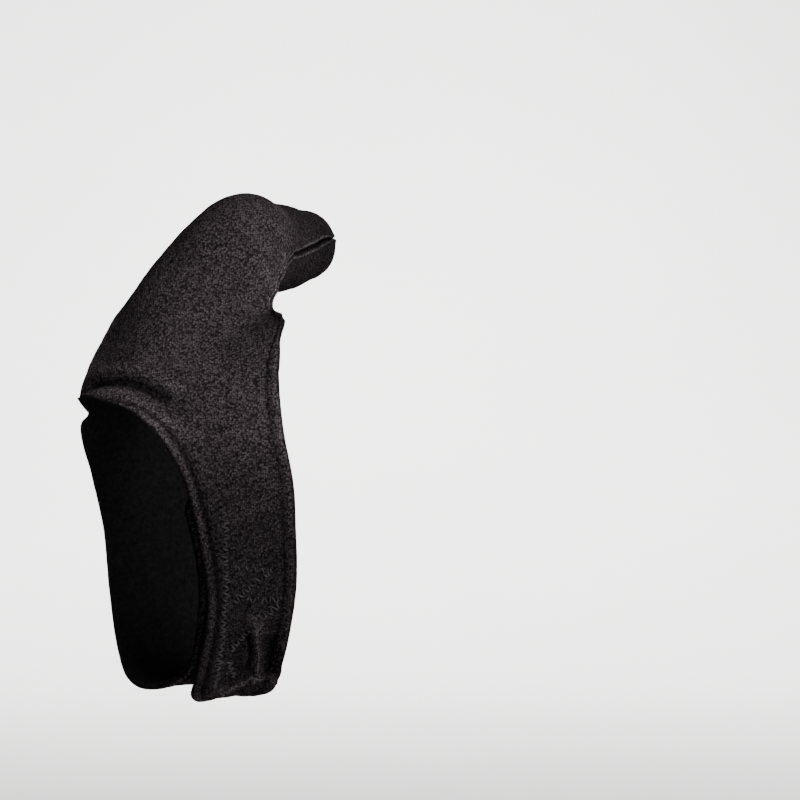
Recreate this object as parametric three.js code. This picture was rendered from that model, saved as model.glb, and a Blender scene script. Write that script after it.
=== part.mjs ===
import * as THREE from 'three';

// A stretch bowling glove for the right thumb: a closed thumb stall of two cloth panels whose lower
// ends run round the hand as a strap and an under-lap, closed on each other over a hook patch.
// Sizes are in millimetres and angles in degrees. +X runs from the wrist to the fingers, +Z to the
// thumb side and +Y to the palm. The origin is in the middle of the hollow for the hand, at the strap.

// Cloth
const CLOTH_WALL = 1.2;
const HEM_WALL = 1.7;
const HEM_WIDTH = 3;
const HEM_SLOPE = 1;
const SEAM_GAP = 0.5;
const LAYER_GAP = 0.4;
const FACET_LENGTH = 4.2;
const INNER_COLUMNS = 8;
const CROSS_SAMPLES = 36;
const FOLD_SAMPLES = 12;

// Strap, palm band and under-lap
const STRAP_WIDTH = 23;
const PALM_BAND_WIDTH = 38;
const UNDERLAP_WIDTH = 22;
const PEEL_HEIGHT = 1.6;

// Hook patch sewn under the end of the strap
const PATCH_WALL = 0.9;
const PATCH_LENGTH = 29;
const PATCH_WIDTH = 16;
const PATCH_INSET = 6;
const PATCH_SLICES = 12;
const PATCH_COLUMNS = 6;

// The hand that the cloth is stretched round: its sections at the wrist and across the palm
const WRIST_X = -38;
const WRIST_BREADTH = 76;
const WRIST_DEPTH = 42;
const WRIST_MIDDLE = -7.5;
const HAND_LENGTH = 52;
const PALM_BREADTH = 98;
const PALM_DEPTH = 35;
const PALM_MIDDLE = 5;
const HAND_ROLL = 18;
const HAND_SQUARENESS = 2.5;

// The thumb: where it starts, its three bones and its half thickness at the knuckle
const THUMB_BASE = { x: -24, y: -1, z: 17.2 };
const METACARPAL = { length: 58.7, rise: 65, turn: 2 };
const PROXIMAL = { length: 31, rise: 1, turn: 76 };
const DISTAL = { length: 21, rise: 4.6, turn: 73 };
const THUMB_RADIUS = 11.8;
const METACARPAL_BOW = 3.6;
const THUMB_SIDE = { x: 0.87, y: 0, z: -0.5 };
const WEB_BLEND = 14;
const CROWN_BOW = 0.4;

// The muscle at the base of the thumb, on the palm side
const THENAR_FROM = { x: -20, y: 8, z: 10 };
const THENAR_TO = { x: -9, y: 7, z: 38 };
const THENAR_RADIUS = 14.5;
const THENAR_BLEND = 12;

// What stands above the skin under the strap: the under-lap, the patch and a gap on each
const STACK_HEIGHT = HEM_WALL + LAYER_GAP + PATCH_WALL + LAYER_GAP;

// Stations of the thumb: the bone, the share of it, and the bow and radius as shares of theirs
const THUMB_STATIONS = [
  { bone: 0, share: 0.00, bow: 0.0, radius: 1.42 },
  { bone: 0, share: 0.33, bow: 0.9, radius: 1.40 },
  { bone: 0, share: 0.70, bow: 1.0, radius: 1.20 },
  { bone: 0, share: 1.00, bow: 0.0, radius: 1.00 },
  { bone: 1, share: 0.50, bow: 0.0, radius: 0.87 },
  { bone: 1, share: 1.00, bow: 0.0, radius: 0.90 },
  { bone: 2, share: 1.00, bow: 0.0, radius: 0.73 },
];
const TIP = THUMB_STATIONS.length - 1;

// Rows of the thumb stall from the tip to the web, shared by both panels. Shown and hidden are the
// places of the two seams, back and palm those of the crown between them, all counted in stations.
// The turns are the seams' angles round the thumb, and cap lifts a crown over the tip.
const THUMB_ROWS = [
  { shown: 6.00, shownTurn: 43, hidden: 6.00, hiddenTurn: 223, back: 6.00, palm: 6.00, cap: 90 },
  { shown: 5.86, shownTurn: 43, hidden: 5.86, hiddenTurn: 223, back: 6.00, palm: 6.00, cap: 45 },
  { shown: 5.66, shownTurn: 42, hidden: 5.64, hiddenTurn: 223, back: 5.92, palm: 5.90, cap: 0 },
  { shown: 5.38, shownTurn: 40, hidden: 5.36, hiddenTurn: 223, back: 5.50, palm: 5.50, cap: 0 },
  { shown: 5.06, shownTurn: 36, hidden: 5.02, hiddenTurn: 223, back: 5.06, palm: 5.10, cap: 0 },
  { shown: 4.60, shownTurn: 30, hidden: 4.45, hiddenTurn: 223, back: 4.50, palm: 4.60, cap: 0 },
  { shown: 4.15, shownTurn: 24, hidden: 3.90, hiddenTurn: 224, back: 3.95, palm: 4.10, cap: 0 },
  { shown: 3.75, shownTurn: 18, hidden: 3.46, hiddenTurn: 223, back: 3.45, palm: 3.65, cap: 0 },
  { shown: 3.40, shownTurn: 14, hidden: 2.56, hiddenTurn: 219, back: 2.95, palm: 3.20, cap: 0 },
  { shown: 3.10, shownTurn: 11, hidden: 2.25, hiddenTurn: 221, back: 2.45, palm: 2.65, cap: 0 },
  { shown: 2.82, shownTurn: 10, hidden: 1.60, hiddenTurn: 221, back: 2.00, palm: 2.05, cap: 0 },
  { shown: 2.66, shownTurn: 10, hidden: 0.80, hiddenTurn: 218, back: 1.60, palm: 1.45, cap: 0 },
];
const BACK_CROWN_TURN = 120;
const WEB = { station: 2.56, turn: 11 };

// The corner at the wrist where the hidden seam ends: a share of the hand's length and an angle
// round the hand, from 0 on the thumb side through 90 on the back to 180 on the outer side.
const WRIST_CORNER = { share: 0, angle: -44 };

// Rows of the back panel from the web to the end of the strap. Finger is the finger-side edge as a
// share of the hand's length, width a share of the strap's, and the two angles are the edges' own.
const STRAP_ROWS = [
  { finger: 0.93, fingerAngle: -13, width: 2.17, wristAngle: -4, stack: 0.0, peel: 0.0 },
  { finger: 0.97, fingerAngle: 4, width: 1.98, wristAngle: 16, stack: 0.0, peel: 0.0 },
  { finger: 0.95, fingerAngle: 26, width: 1.63, wristAngle: 32, stack: 0.0, peel: 0.0 },
  { finger: 0.95, fingerAngle: 45, width: 1.35, wristAngle: 47, stack: 0.1, peel: 0.0 },
  { finger: 0.97, fingerAngle: 62, width: 1.17, wristAngle: 61, stack: 0.6, peel: 0.0 },
  { finger: 1.01, fingerAngle: 77, width: 1.11, wristAngle: 77, stack: 1.0, peel: 0.0 },
  { finger: 1.02, fingerAngle: 92, width: 1.05, wristAngle: 92, stack: 1.0, peel: 0.0 },
  { finger: 1.02, fingerAngle: 108, width: 0.98, wristAngle: 108, stack: 1.0, peel: 0.0 },
  { finger: 0.98, fingerAngle: 125, width: 0.95, wristAngle: 125, stack: 1.0, peel: 0.0 },
  { finger: 0.92, fingerAngle: 144, width: 0.95, wristAngle: 144, stack: 1.0, peel: 0.2 },
  { finger: 0.89, fingerAngle: 153, width: 0.95, wristAngle: 153, stack: 1.0, peel: 0.8 },
  { finger: 0.83, fingerAngle: 159, width: 0.80, wristAngle: 158, stack: 1.0, peel: 1.0 },
];

// Rows of the palm panel from the web across the palm and round the outer side to the end of the
// under-lap. Here a width is a share of the palm band's, and then of the under-lap's.
const PALM_ROWS = [
  { finger: 0.83, fingerAngle: -25, width: 1.20, wristAngle: -52 },
  { finger: 0.81, fingerAngle: -50, width: 1.14, wristAngle: -72 },
  { finger: 0.81, fingerAngle: -80, width: 1.09, wristAngle: -95 },
  { finger: 0.79, fingerAngle: -110, width: 1.03, wristAngle: -120 },
  { finger: 0.81, fingerAngle: -140, width: 1.00, wristAngle: -145 },
  { finger: 0.86, fingerAngle: -165, width: 0.98, wristAngle: -172 },
  { finger: 0.90, fingerAngle: -188, width: 0.94, wristAngle: -190 },
];
const UNDERLAP_ROWS = [
  { finger: 0.93, fingerAngle: -205, width: 1.36, wristAngle: -208 },
  { finger: 0.95, fingerAngle: -222, width: 1.13, wristAngle: -222 },
  { finger: 0.95, fingerAngle: -240, width: 1.00, wristAngle: -240 },
  { finger: 0.96, fingerAngle: -255, width: 0.98, wristAngle: -255 },
  { finger: 0.95, fingerAngle: -270, width: 1.01, wristAngle: -270 },
  { finger: 0.93, fingerAngle: -281, width: 1.04, wristAngle: -281 },
];

// Folds and dents that the cloth shows: three points of a line on the hand, each a share of its
// length and an angle round it, and the width and height of the fold as shares of the cloth's wall.
const FOLDS = [
  { line: [[0.04, 6], [0.20, 20], [0.40, 45]], width: 2.2, height: 0.6 },
  { line: [[0.07, -4], [0.25, 14], [0.46, 40]], width: 2.0, height: -0.7 },
  { line: [[0.81, 117], [0.82, 127], [0.80, 139]], width: 1.8, height: 0.6 },
  { line: [[0.90, 128], [0.90, 136], [0.89, 142]], width: 2.4, height: -0.4 },
  { line: [[0.66, 149], [0.78, 142], [0.92, 146]], width: 1.8, height: 0.4 },
];

const radians = THREE.MathUtils.degToRad;
const clamp = THREE.MathUtils.clamp;

function point({ x, y, z }) {
  return new THREE.Vector3(x, y, z);
}

// Directions of the hand's section: towards the thumb side and towards the back of the hand
const RADIAL = new THREE.Vector3(0, -Math.sin(radians(HAND_ROLL)), Math.cos(radians(HAND_ROLL)));
const DORSAL = new THREE.Vector3(0, -Math.cos(radians(HAND_ROLL)), -Math.sin(radians(HAND_ROLL)));

// Direction from the wrist up the thumb's first bone
const THUMBWARD = new THREE.Vector3(
  Math.cos(radians(METACARPAL.rise)),
  0,
  Math.sin(radians(METACARPAL.rise)),
);

function handSection(x) {
  const share = clamp((x - WRIST_X) / HAND_LENGTH, -0.5, 1.5);
  return {
    halfBreadth: THREE.MathUtils.lerp(WRIST_BREADTH, PALM_BREADTH, share) / 2,
    halfDepth: THREE.MathUtils.lerp(WRIST_DEPTH, PALM_DEPTH, share) / 2,
    middle: THREE.MathUtils.lerp(WRIST_MIDDLE, PALM_MIDDLE, share),
  };
}

// Distance from the hand's rounded section, less than zero inside it
function handDistance(p) {
  const { halfBreadth, halfDepth, middle } = handSection(p.x);
  const across = Math.abs(RADIAL.y * p.y + RADIAL.z * (p.z - middle)) / halfBreadth;
  const through = Math.abs(DORSAL.y * p.y + DORSAL.z * (p.z - middle)) / halfDepth;
  const power = HAND_SQUARENESS;
  const size = Math.max((across ** power + through ** power) ** (1 / power), 0.01);
  const slopeAcross = (across / size) ** (power - 1) / halfBreadth;
  const slopeThrough = (through / size) ** (power - 1) / halfDepth;
  return (size - 1) / Math.hypot(slopeAcross, slopeThrough);
}

function boneEnd(from, bone) {
  const rise = radians(bone.rise);
  const turn = radians(bone.turn);
  const along = new THREE.Vector3(
    Math.cos(rise) * Math.cos(turn),
    Math.cos(rise) * Math.sin(turn),
    Math.sin(rise),
  );
  return from.clone().addScaledVector(along, bone.length);
}

// The thumb's centre line and radius through its stations
function makeThumb() {
  const knuckle = boneEnd(point(THUMB_BASE), METACARPAL);
  const joint = boneEnd(knuckle, PROXIMAL);
  const ends = [point(THUMB_BASE), knuckle, joint, boneEnd(joint, DISTAL)];
  const side = point(THUMB_SIDE).normalize();
  const centres = THUMB_STATIONS.map(({ bone, share, bow }) => {
    const centre = ends[bone].clone().lerp(ends[bone + 1], share);
    return centre.addScaledVector(side, -bow * METACARPAL_BOW);
  });
  const spine = new THREE.CatmullRomCurve3(centres, false, 'centripetal');
  const girth = new THREE.SplineCurve(
    THUMB_STATIONS.map(({ radius }, index) => new THREE.Vector2(index, radius * THUMB_RADIUS)),
  );
  return { spine, girth, side };
}

const thumb = makeThumb();
const THUMB_SLICES = 24;
const thumbBalls = Array.from({ length: THUMB_SLICES + 1 }, (_, slice) => ({
  centre: thumb.spine.getPoint(slice / THUMB_SLICES),
  radius: thumb.girth.getPoint(slice / THUMB_SLICES).y,
}));

function coneDistance(p, from, fromRadius, to, toRadius) {
  const x = to.x - from.x;
  const y = to.y - from.y;
  const z = to.z - from.z;
  const along = (p.x - from.x) * x + (p.y - from.y) * y + (p.z - from.z) * z;
  const share = clamp(along / (x * x + y * y + z * z), 0, 1);
  const away = Math.hypot(
    p.x - from.x - share * x,
    p.y - from.y - share * y,
    p.z - from.z - share * z,
  );
  return away - fromRadius - share * (toRadius - fromRadius);
}

function thumbDistance(p) {
  let nearest = Infinity;
  for (let slice = 0; slice < THUMB_SLICES; slice += 1) {
    const from = thumbBalls[slice];
    const to = thumbBalls[slice + 1];
    nearest = Math.min(nearest, coneDistance(p, from.centre, from.radius, to.centre, to.radius));
  }
  return nearest;
}

function blend(first, second, reach) {
  const overlap = Math.max(reach - Math.abs(first - second), 0) / reach;
  return Math.min(first, second) - (overlap * overlap * reach) / 4;
}

const thenarFrom = point(THENAR_FROM);
const thenarTo = point(THENAR_TO);

// Distance from the whole hand and thumb that fill the glove
function formDistance(p) {
  const muscle = coneDistance(p, thenarFrom, THENAR_RADIUS, thenarTo, THENAR_RADIUS);
  const palm = blend(handDistance(p), muscle, THENAR_BLEND);
  return blend(palm, thumbDistance(p), WEB_BLEND);
}

const PROBE = 0.05;

function formSlope(p) {
  const q = p.clone();
  const slope = new THREE.Vector3();
  for (const axis of ['x', 'y', 'z']) {
    q[axis] = p[axis] + PROBE;
    const ahead = formDistance(q);
    q[axis] = p[axis] - PROBE;
    slope[axis] = (ahead - formDistance(q)) / (2 * PROBE);
    q[axis] = p[axis];
  }
  return slope;
}

// Moves a point to the nearest place on the skin
function settle(p) {
  const settled = p.clone();
  for (let step = 0; step < 6; step += 1) {
    const distance = formDistance(settled);
    if (Math.abs(distance) < 0.001) break;
    const slope = formSlope(settled);
    settled.addScaledVector(slope, -distance / Math.max(slope.lengthSq(), 0.25));
  }
  return settled;
}

function onHand(share, angle) {
  const x = WRIST_X + share * HAND_LENGTH;
  const { halfBreadth, halfDepth, middle } = handSection(x);
  const across = Math.cos(radians(angle));
  const through = Math.sin(radians(angle));
  const power = HAND_SQUARENESS;
  const size = (Math.abs(across) ** power + Math.abs(through) ** power) ** (1 / power);
  const skin = new THREE.Vector3(x, 0, middle);
  skin.addScaledVector(RADIAL, (across / size) * halfBreadth);
  skin.addScaledVector(DORSAL, (through / size) * halfDepth);
  return settle(skin);
}

function onThumb(station, turn, cap = 0) {
  const share = station / TIP;
  const along = thumb.spine.getTangent(share);
  const side = thumb.side.clone().addScaledVector(along, -thumb.side.dot(along)).normalize();
  const front = new THREE.Vector3().crossVectors(side, along);
  const out = side.multiplyScalar(Math.cos(radians(turn)));
  out.addScaledVector(front, Math.sin(radians(turn)));
  out.multiplyScalar(Math.cos(radians(cap))).addScaledVector(along, Math.sin(radians(cap)));
  const radius = thumb.girth.getPoint(share).y;
  return settle(thumb.spine.getPoint(share).addScaledVector(out, radius));
}

// The lines of the folds, each laid on the skin
const foldLines = FOLDS.map(({ line, width, height }) => {
  const curve = new THREE.CatmullRomCurve3(line.map(([share, angle]) => onHand(share, angle)));
  return { places: curve.getPoints(FOLD_SAMPLES), width: width * CLOTH_WALL, height: height * CLOTH_WALL };
});

function foldLift(p) {
  let lift = 0;
  for (const { places, width, height } of foldLines) {
    const distance = Math.min(...places.map((place) => place.distanceTo(p)));
    lift += height * Math.exp(-((distance / width) ** 2));
  }
  return lift;
}

function panelRow(left, crown, right, extras) {
  return { left, crown, right, stack: 0, peel: 0, leftSeam: 0, rightSeam: 0, ...extras };
}

function thumbRows(side) {
  const crownTurn = side > 0 ? BACK_CROWN_TURN : BACK_CROWN_TURN + 180;
  return THUMB_ROWS.map((row) => {
    const crown = onThumb(side > 0 ? row.back : row.palm, crownTurn, row.cap);
    const hidden = onThumb(row.hidden, row.hiddenTurn);
    const shown = onThumb(row.shown, row.shownTurn);
    return panelRow(hidden, crown, shown, { leftSeam: 1, rightSeam: 1 });
  });
}

// The crown of a wide row over the base of the thumb, on the back or the palm side of the hand. On
// the back it is bowed up the thumb, so that the row meets the hem nearly square.
function broadCrown(left, right, reach) {
  const crown = left.clone().lerp(right, 0.5).addScaledVector(DORSAL, reach);
  return settle(crown.addScaledVector(THUMBWARD, Math.max(reach, 0) * CROWN_BOW));
}

function webRow(side) {
  const corner = onHand(WRIST_CORNER.share, WRIST_CORNER.angle);
  const web = onThumb(WEB.station, WEB.turn);
  const crown = broadCrown(corner, web, (side * WRIST_DEPTH) / 2);
  return panelRow(corner, crown, web, { leftSeam: 1, rightSeam: 1 });
}

function handRow(row, widthUnit, side) {
  const wrist = row.finger - (row.width * widthUnit) / HAND_LENGTH;
  const left = onHand(wrist, row.wristAngle);
  const right = onHand(row.finger, row.fingerAngle);
  const angle = (row.wristAngle + row.fingerAngle) / 2;
  const outward = (Math.max(0, Math.cos(radians(angle))) * side * WRIST_DEPTH) / 2;
  const crown = outward !== 0
    ? broadCrown(left, right, outward)
    : onHand((wrist + row.finger) / 2, angle);
  return panelRow(left, crown, right, { stack: row.stack ?? 0, peel: row.peel ?? 0 });
}

// A smooth line through one column of points, as a function of the place counted in rows
function lineThrough(rows, name) {
  const curve = new THREE.CatmullRomCurve3(rows.map((row) => row[name]), false, 'centripetal');
  return (place) => curve.getPoint(clamp(place / (rows.length - 1), 0, 1));
}

// An edge line, which may turn a corner at the row of the web, where the seams end
function edgeThrough(rows, name) {
  const seam = lineThrough(rows.slice(0, THUMB_ROWS.length + 1), name);
  const hem = lineThrough(rows.slice(THUMB_ROWS.length), name);
  return (place) => (place < THUMB_ROWS.length ? seam(place) : hem(place - THUMB_ROWS.length));
}

// The lines along a panel, with a place along them counted in rows
function makeTrack(rows) {
  const last = rows.length - 1;
  const left = edgeThrough(rows, 'left');
  const crown = lineThrough(rows, 'crown');
  const right = edgeThrough(rows, 'right');
  return (place) => {
    const row = Math.min(Math.floor(place), last - 1);
    const share = place - row;
    const mix = (name) => THREE.MathUtils.lerp(rows[row][name], rows[row + 1][name], share);
    return {
      left: left(place),
      crown: crown(place),
      right: right(place),
      stack: mix('stack'),
      peel: mix('peel'),
      leftSeam: mix('leftSeam'),
      rightSeam: mix('rightSeam'),
    };
  };
}

// Places along a track that keep its facets near the wanted length
function trackPlaces(track, rows) {
  const places = [0];
  for (let row = 0; row < rows.length - 1; row += 1) {
    const from = track(row);
    const to = track(row + 1);
    const reach = Math.max(
      from.left.distanceTo(to.left),
      from.crown.distanceTo(to.crown),
      from.right.distanceTo(to.right),
    );
    const steps = Math.max(1, Math.round(reach / FACET_LENGTH));
    for (let step = 1; step <= steps; step += 1) places.push(row + step / steps);
  }
  return places;
}

// The skin line across a panel at one place, as points with their distance from its left edge
function crossLine({ left, crown, right }) {
  const middle = left.clone().lerp(right, 0.5);
  const line = [];
  let length = 0;
  for (let sample = 0; sample <= CROSS_SAMPLES; sample += 1) {
    const angle = (Math.PI * sample) / CROSS_SAMPLES;
    const guess = middle.clone();
    guess.addScaledVector(right.clone().sub(left), -Math.cos(angle) / 2);
    guess.addScaledVector(crown.clone().sub(middle), Math.sin(angle));
    const settled = settle(guess);
    if (sample > 0) length += settled.distanceTo(line[sample - 1].at);
    line.push({ at: settled, length });
  }
  return line;
}

function placeOn(line, distance) {
  let index = 1;
  while (index < line.length - 1 && line[index].length < distance) index += 1;
  const from = line[index - 1];
  const to = line[index];
  const share = (distance - from.length) / (to.length - from.length);
  return settle(from.at.clone().lerp(to.at, share));
}

// Distances of a panel's columns across it: close at the two edges and even between them
function columnDistances(from, to, edge) {
  const distances = edge.map((distance) => from + distance);
  const start = from + edge[edge.length - 1];
  const end = to - edge[edge.length - 1];
  for (let column = 1; column <= INNER_COLUMNS; column += 1) {
    distances.push(THREE.MathUtils.lerp(start, end, column / (INNER_COLUMNS + 1)));
  }
  return distances.concat(edge.map((distance) => to - distance).reverse());
}

function hemShare(distance) {
  return clamp((HEM_WIDTH + HEM_SLOPE - distance) / HEM_SLOPE, 0, 1);
}

// A sheet with a wall, from rows of skin places: two faces joined round their four edges
function makeSheet(grid) {
  const rowCount = grid.length;
  const columnCount = grid[0].length;
  const layer = rowCount * columnCount;
  const positions = [];
  for (const face of ['outer', 'inner']) {
    for (const row of grid) {
      for (const corner of row) positions.push(...corner[face].toArray());
    }
  }
  const faces = [];
  const quad = (a, b, c, d) => faces.push(a, b, c, a, c, d);
  const at = (row, column) => row * columnCount + column;
  for (let row = 0; row < rowCount - 1; row += 1) {
    for (let column = 0; column < columnCount - 1; column += 1) {
      const corners = [
        at(row, column), at(row, column + 1), at(row + 1, column + 1), at(row + 1, column),
      ];
      quad(...corners);
      quad(...corners.map((corner) => corner + layer).reverse());
    }
  }
  const rim = [];
  for (let column = 0; column < columnCount - 1; column += 1) rim.push(at(0, column));
  for (let row = 0; row < rowCount - 1; row += 1) rim.push(at(row, columnCount - 1));
  for (let column = columnCount - 1; column > 0; column -= 1) rim.push(at(rowCount - 1, column));
  for (let row = rowCount - 1; row > 0; row -= 1) rim.push(at(row, 0));
  rim.forEach((corner, index) => {
    const next = rim[(index + 1) % rim.length];
    quad(next, corner, corner + layer, next + layer);
  });
  const geometry = new THREE.BufferGeometry();
  geometry.setAttribute('position', new THREE.Float32BufferAttribute(positions, 3));
  geometry.setIndex(facingOut(positions, faces));
  geometry.computeVertexNormals();
  return geometry;
}

// Turns every face round where the solid they close would be inside out
function facingOut(positions, faces) {
  const corner = (index) => new THREE.Vector3().fromArray(positions, index * 3);
  let volume = 0;
  for (let face = 0; face < faces.length; face += 3) {
    const [a, b, c] = [corner(faces[face]), corner(faces[face + 1]), corner(faces[face + 2])];
    volume += a.dot(b.cross(c));
  }
  return volume > 0 ? faces : faces.reverse();
}

// How far a row stops short of a seam, so that the gap has its width square to the seam
const LEAST_SLANT = 0.3;

function seamTrim(seam, row) {
  const slant = Math.sin(seam.angleTo(row));
  return SEAM_GAP / 2 / Math.max(slant, LEAST_SLANT);
}

// The first row stands just off the very tip, where the two seams meet in a point
const FIRST_PLACE = 0.04;
const NEAR_STEP = 0.1;

// A cloth panel along its rows, thicker at its free hems and trimmed back at its seams
function makePanel(rows) {
  const track = makeTrack(rows);
  const places = trackPlaces(track, rows);
  const last = rows.length - 1;
  const edge = [0, HEM_WIDTH / 2, HEM_WIDTH, HEM_WIDTH + HEM_SLOPE];
  const grid = places.map((place, index) => {
    const row = track(index === 0 ? FIRST_PLACE : place);
    const line = crossLine(row);
    const length = line[line.length - 1].length;
    const near = {
      back: track(Math.max(place - NEAR_STEP, 0)),
      ahead: track(Math.min(place + NEAR_STEP, last)),
    };
    const first = line[1].at.clone().sub(line[0].at);
    const final = line[line.length - 1].at.clone().sub(line[line.length - 2].at);
    const from = row.leftSeam * seamTrim(near.ahead.left.sub(near.back.left), first);
    const to = length - row.rightSeam * seamTrim(near.ahead.right.sub(near.back.right), final);
    const toEnd = row.crown.distanceTo(track(last).crown);
    return columnDistances(from, to, edge).map((distance) => {
      const skin = placeOn(line, distance);
      const out = formSlope(skin).normalize();
      const hem = Math.max(
        hemShare(distance - from) * (1 - row.leftSeam),
        hemShare(to - distance) * (1 - row.rightSeam),
        hemShare(toEnd),
      );
      const peel = Math.max(0, 1 - (2 * distance) / length) ** 2 * row.peel * PEEL_HEIGHT;
      const lift = row.stack * STACK_HEIGHT + peel + foldLift(skin);
      const wall = THREE.MathUtils.lerp(CLOTH_WALL, HEM_WALL, hem);
      return {
        inner: skin.clone().addScaledVector(out, lift),
        outer: skin.clone().addScaledVector(out, lift + wall),
      };
    });
  });
  return makeSheet(grid);
}

const WALK_STEP = 0.01;

// The hook patch lies between the under-lap and the strap, inset from the strap's end and edges
function makePatch(rows) {
  const track = makeTrack(rows);
  const last = rows.length - 1;
  const grid = [];
  let place = last;
  let walked = 0;
  let previous = track(last).crown;
  for (let slice = 0; slice <= PATCH_SLICES; slice += 1) {
    const wanted = PATCH_INSET + (PATCH_LENGTH * slice) / PATCH_SLICES;
    while (walked < wanted) {
      place -= WALK_STEP;
      const crown = track(place).crown;
      walked += crown.distanceTo(previous);
      previous = crown;
    }
    const line = crossLine(track(place));
    const side = (line[line.length - 1].length - PATCH_WIDTH) / 2;
    grid.push(Array.from({ length: PATCH_COLUMNS + 1 }, (_, column) => {
      const skin = placeOn(line, side + (PATCH_WIDTH * column) / PATCH_COLUMNS);
      const out = formSlope(skin).normalize();
      const lift = HEM_WALL + LAYER_GAP + foldLift(skin);
      return {
        inner: skin.clone().addScaledVector(out, lift),
        outer: skin.clone().addScaledVector(out, lift + PATCH_WALL),
      };
    }));
  }
  return makeSheet(grid);
}

function cloth(color, roughness) {
  return new THREE.MeshStandardMaterial({ color, roughness, metalness: 0 });
}

function addMesh(group, name, geometry, material) {
  const mesh = new THREE.Mesh(geometry, material);
  mesh.name = name;
  group.add(mesh);
}

const backRows = [
  ...thumbRows(1),
  webRow(1),
  ...STRAP_ROWS.map((row) => handRow(row, STRAP_WIDTH, 1)),
];
const palmRows = [
  ...thumbRows(-1),
  webRow(-1),
  ...PALM_ROWS.map((row) => handRow(row, PALM_BAND_WIDTH, -1)),
  ...UNDERLAP_ROWS.map((row) => handRow(row, UNDERLAP_WIDTH, 0)),
];

const glove = new THREE.Group();
addMesh(glove, 'back_panel', makePanel(backRows), cloth(0x2d2b2d, 0.85));
addMesh(glove, 'palm_panel', makePanel(palmRows), cloth(0x29282a, 0.88));
addMesh(glove, 'hook_patch', makePatch(backRows), cloth(0x19181a, 0.7));

export default glove;
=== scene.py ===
"""A stretch bowling glove for the right thumb, dressed in knitted cloth with hems, seams and stitching.

The forms are in millimetres and degrees, as in the part, and become metres in the meshes. +X runs
from the wrist to the fingers, +Z to the thumb side and +Y to the palm.
"""

import math
from collections import namedtuple
from functools import partial

import bpy
import numpy as np
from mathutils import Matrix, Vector


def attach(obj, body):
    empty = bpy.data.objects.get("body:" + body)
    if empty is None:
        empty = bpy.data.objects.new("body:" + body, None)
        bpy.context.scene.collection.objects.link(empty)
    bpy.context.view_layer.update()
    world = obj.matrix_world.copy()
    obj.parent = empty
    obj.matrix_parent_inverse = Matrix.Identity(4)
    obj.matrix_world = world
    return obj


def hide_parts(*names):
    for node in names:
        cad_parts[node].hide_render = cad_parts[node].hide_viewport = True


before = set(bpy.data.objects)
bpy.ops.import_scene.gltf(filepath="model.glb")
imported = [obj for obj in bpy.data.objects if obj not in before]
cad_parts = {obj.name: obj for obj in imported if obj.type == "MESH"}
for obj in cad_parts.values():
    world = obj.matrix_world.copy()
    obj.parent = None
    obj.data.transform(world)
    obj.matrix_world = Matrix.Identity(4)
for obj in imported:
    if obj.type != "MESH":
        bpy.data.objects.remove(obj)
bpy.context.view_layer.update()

MM = 0.001

# Cloth
CLOTH_WALL = 1.2
HEM_WALL = 1.7
HEM_WIDTH = 3.0
HEM_SLOPE = 0.7
HEM_SWELL = 0.22
STITCH_INSET = 2.4
STITCH_GROOVE = 0.28
GROOVE_SPREAD = 0.45
SHADOW_INSET = 3.2
SHADOW_SPREAD = 0.95
SEAM_SLIT = 0.12
SEAM_ROUND = 0.8
SEAM_LIP = 0.35
LIP_SPREAD = 0.8
LAYER_GAP = 0.4
END_ROUND_WRIST = 5.5
END_ROUND_FINGER = 1.5
FACET_LENGTH = 0.9
INNER_COLUMNS = 62

# How deep the stitch line is, and how dark the painted shadow along it, at the wrist edge, the finger edge,
# the tip and the free end
GROOVE_SHARES = (1.0, 0.3, 0.0, 0.5)

# Strap, palm band and under-lap
STRAP_WIDTH = 23
PALM_BAND_WIDTH = 38
UNDERLAP_WIDTH = 22
PEEL_HEIGHT = 1.6

# Hook patch under the end of the strap
PATCH_WALL = 0.9
PATCH_LENGTH = 29
PATCH_WIDTH = 16
PATCH_INSET = 6
STACK_HEIGHT = HEM_WALL + LAYER_GAP + PATCH_WALL + LAYER_GAP

# The hand that the cloth is stretched round
WRIST_X = -38
WRIST_BREADTH = 76
WRIST_DEPTH = 42
WRIST_MIDDLE = -7.5
HAND_LENGTH = 52
PALM_BREADTH = 98
PALM_DEPTH = 35
PALM_MIDDLE = 5
HAND_ROLL = 18
HAND_SQUARENESS = 2.5

# The thumb and the muscle at its base
Bone = namedtuple("Bone", "length rise turn")
THUMB_BASE = np.array([-24, -1, 17.2])
METACARPAL = Bone(58.7, 65, 2)
PROXIMAL = Bone(31, 1, 76)
DISTAL = Bone(21, 4.6, 73)
THUMB_RADIUS = 11.8
METACARPAL_BOW = 3.6
THUMB_SIDE = np.array([0.87, 0, -0.5])
THUMB_SLICES = 72
WEB_BLEND = 14
CROWN_BOW = 0.4
THENAR_FROM = np.array([-20.0, 8, 10])
THENAR_TO = np.array([-9.0, 7, 38])
THENAR_RADIUS = 14.5
THENAR_BLEND = 12

# Stations of the thumb: the bone, the share of it, and the bow and radius as shares of theirs
Station = namedtuple("Station", "bone share bow radius")
THUMB_STATIONS = [
    Station(0, 0.00, 0.0, 1.42),
    Station(0, 0.33, 0.9, 1.40),
    Station(0, 0.70, 1.0, 1.20),
    Station(0, 1.00, 0.0, 1.00),
    Station(1, 0.50, 0.0, 0.87),
    Station(1, 1.00, 0.0, 0.90),
    Station(2, 1.00, 0.0, 0.73),
]
TIP = len(THUMB_STATIONS) - 1

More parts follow.
